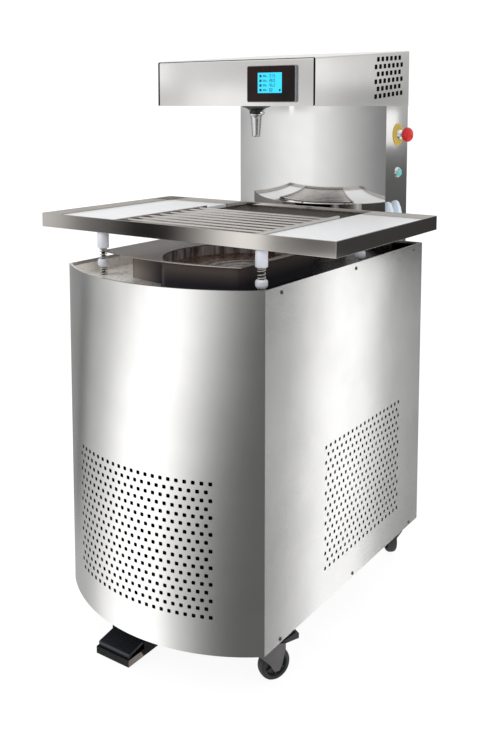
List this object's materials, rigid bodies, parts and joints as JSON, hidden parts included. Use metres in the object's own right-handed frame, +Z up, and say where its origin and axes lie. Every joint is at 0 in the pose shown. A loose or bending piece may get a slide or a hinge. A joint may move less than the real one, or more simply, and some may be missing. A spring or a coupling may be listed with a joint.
{
  "type": "chocolate tempering machine",
  "caption": "Wheeled steel cabinet with a chocolate basin, a vibrating draining table on sprung posts, a rear column and an overhanging head with an outlet nozzle and a display.",
  "frame": {"origin": "on the floor under the middle of the machine's bounding box", "axes": "+X to the user's right, +Y from the user to the rear, +Z up"},
  "size_m": [0.848, 0.898, 1.435],
  "materials": {
    "polished_steel": "polished stainless steel sheet, nearly mirror-like",
    "brushed_steel": "brushed stainless steel",
    "zinc_sheet": "zinc-plated sheet",
    "spring_steel": "bright spring wire",
    "black_enamel": "black enamel",
    "motor_grey": "grey enamel",
    "cast_aluminium": "cast aluminium",
    "finned_aluminium": "thin aluminium fins",
    "white_board": "white polyethylene",
    "bush_plastic": "pale plastic",
    "black_plastic": "black plastic",
    "grey_plastic": "grey plastic",
    "connector_plastic": "pale plastic",
    "bezel_plastic": "dark glossy plastic",
    "screen_glass": "lit display",
    "stop_yellow": "yellow plastic",
    "stop_red": "red plastic",
    "start_teal": "blue-green plastic",
    "chrome": "chrome",
    "tyre_rubber": "black rubber"
  },
  "bodies": {
    "cabinet": {"floor_pan": "zinc_sheet", "frame_uprights": "zinc_sheet", "well_plate": "brushed_steel", "left_side_panel": "polished_steel", "right_side_panel": "polished_steel", "front_skin": "polished_steel", "rear_panel": "polished_steel", "basin": "brushed_steel", "agitator_gearmotor": "motor_grey", "pump_tube": "brushed_steel", "pump_gearmotor": "motor_grey", "chocolate_pipes": "brushed_steel", "drive_shelf": "zinc_sheet", "control_box": "grey_plastic", "compressor": "black_enamel", "condenser": "finned_aluminium", "fan_shroud": "zinc_sheet", "cable_gland": "black_plastic", "column_front": "polished_steel", "column_shell": "polished_steel", "head_shell": "polished_steel", "head_floor": "polished_steel", "head_front_panel": "polished_steel", "display_bezel": "bezel_plastic", "display_screen": "screen_glass", "spout_collar": "brushed_steel", "valve_body": "black_plastic", "nozzle": "brushed_steel", "stop_ring": "stop_yellow", "start_ring": "chrome", "connector_sockets": "connector_plastic", "post_studs": "brushed_steel", "post_springs": "spring_steel", "pedal_tray": "brushed_steel", "foot_switch": "black_plastic", "caster_plates": "zinc_sheet"},
    "table": {"table_frame": "brushed_steel", "upper_bushes": "bush_plastic", "shaker_motor": "cast_aluminium"},
    "middle_bushes": {"lower_bushes": "bush_plastic"},
    "left_board": {"left_board": "white_board"},
    "right_board": {"right_board": "white_board"},
    "grille": {"rod_grille": "brushed_steel"},
    "shaker_rotor": {"shaker_rotor": "spring_steel"},
    "agitator": {"agitator": "brushed_steel"},
    "pump_screw": {"pump_screw": "brushed_steel"},
    "fan": {"condenser_fan": "black_plastic"},
    "stop_button": {"stop_mushroom": "stop_red"},
    "start_button": {"start_cap": "start_teal"},
    "treadle": {"pedal_treadle": "black_plastic"},
    "fork_front_right": {"caster_fork_front_right": "zinc_sheet"},
    "wheel_front_right": {"caster_wheel_front_right": "tyre_rubber"},
    "brake_front_right": {"brake_lever_front_right": "black_plastic"},
    "fork_front_left": {"caster_fork_front_left": "zinc_sheet"},
    "wheel_front_left": {"caster_wheel_front_left": "tyre_rubber"},
    "brake_front_left": {"brake_lever_front_left": "black_plastic"},
    "fork_rear_right": {"caster_fork_rear_right": "zinc_sheet"},
    "wheel_rear_right": {"caster_wheel_rear_right": "tyre_rubber"},
    "fork_rear_left": {"caster_fork_rear_left": "zinc_sheet"},
    "wheel_rear_left": {"caster_wheel_rear_left": "tyre_rubber"}
  },
  "joints": [
    {"name": "table_float", "type": "slide", "parent": "cabinet", "child": "table", "axis": [0, 0, 1], "range_m": [-0.003, 0.003], "stiffness_N_per_m": 60000, "springref_m": 0.0019, "deforming": ["post_springs"]},
    {"name": "bush_float", "type": "slide", "parent": "cabinet", "child": "middle_bushes", "axis": [0, 0, 1], "range_m": [-0.0015, 0.0015], "stiffness_N_per_m": 2000},
    {"name": "left_board_lift", "type": "slide", "parent": "table", "child": "left_board", "axis": [0, 0, 1], "range_m": [0, 0.06]},
    {"name": "right_board_lift", "type": "slide", "parent": "table", "child": "right_board", "axis": [0, 0, 1], "range_m": [0, 0.06]},
    {"name": "grille_lift", "type": "slide", "parent": "table", "child": "grille", "axis": [0, 0, 1], "range_m": [0, 0.06]},
    {"name": "shaker_spin", "type": "hinge", "parent": "table", "child": "shaker_rotor", "pos_m": [0, 0.157, 0.949], "axis": [1, 0, 0], "continuous": true},
    {"name": "agitator_spin", "type": "hinge", "parent": "cabinet", "child": "agitator", "pos_m": [0.065, -0.165, 0.708], "axis": [0, 0, 1], "continuous": true},
    {"name": "pump_spin", "type": "hinge", "parent": "cabinet", "child": "pump_screw", "pos_m": [0, 0.34, 0.7], "axis": [0, 0, 1], "continuous": true},
    {"name": "fan_spin", "type": "hinge", "parent": "cabinet", "child": "fan", "pos_m": [0.11, 0, 0.228], "axis": [0, 1, 0], "continuous": true},
    {"name": "stop_push", "type": "slide", "parent": "cabinet", "child": "stop_button", "axis": [-1, 0, 0], "range_m": [0, 0.004], "stiffness_N_per_m": 800, "springref_m": -0.003},
    {"name": "start_push", "type": "slide", "parent": "cabinet", "child": "start_button", "axis": [-1, 0, 0], "range_m": [0, 0.002], "stiffness_N_per_m": 500, "springref_m": -0.002},
    {"name": "treadle_hinge", "type": "hinge", "parent": "cabinet", "child": "treadle", "pos_m": [-0.085, -0.362, 0.038], "axis": [1, 0, 0], "range_deg": [0, 9], "stiffness_Nm_per_rad": 3, "springref_deg": -6.88},
    {"name": "swivel_front_right", "type": "hinge", "parent": "cabinet", "child": "fork_front_right", "pos_m": [0.238, -0.29, 0.09], "axis": [0, 0, 1], "continuous": true},
    {"name": "roll_front_right", "type": "hinge", "parent": "fork_front_right", "child": "wheel_front_right", "pos_m": [0.25302, -0.26175, 0.0375], "axis": [-0.8829, 0.4695, 0], "continuous": true},
    {"name": "brake_front_right", "type": "hinge", "parent": "fork_front_right", "child": "brake_front_right", "pos_m": [0.2596, -0.24938, 0.081], "axis": [-0.8829, 0.4695, 0], "range_deg": [0, 15]},
    {"name": "swivel_front_left", "type": "hinge", "parent": "cabinet", "child": "fork_front_left", "pos_m": [-0.238, -0.29, 0.09], "axis": [0, 0, 1], "continuous": true},
    {"name": "roll_front_left", "type": "hinge", "parent": "fork_front_left", "child": "wheel_front_left", "pos_m": [-0.26807, -0.27905, 0.0375], "axis": [-0.342, -0.9397, 0], "continuous": true},
    {"name": "brake_front_left", "type": "hinge", "parent": "fork_front_left", "child": "brake_front_left", "pos_m": [-0.28123, -0.27427, 0.081], "axis": [-0.342, -0.9397, 0], "range_deg": [0, 15]},
    {"name": "swivel_rear_right", "type": "hinge", "parent": "cabinet", "child": "fork_rear_right", "pos_m": [0.238, 0.392, 0.09], "axis": [0, 0, 1], "continuous": true},
    {"name": "roll_rear_right", "type": "hinge", "parent": "fork_rear_right", "child": "wheel_rear_right", "pos_m": [0.21537, 0.41463, 0.0375], "axis": [-0.7071, -0.7071, 0], "continuous": true},
    {"name": "swivel_rear_left", "type": "hinge", "parent": "cabinet", "child": "fork_rear_left", "pos_m": [-0.238, 0.392, 0.09], "axis": [0, 0, 1], "continuous": true},
    {"name": "roll_rear_left", "type": "hinge", "parent": "fork_rear_left", "child": "wheel_rear_left", "pos_m": [-0.25857, 0.41651, 0.0375], "axis": [-0.766, -0.6428, 0], "continuous": true}
  ],
  "couplings": [
    {"joint": "bush_float", "follows": "table_float", "ratio": 0.5}
  ]
}
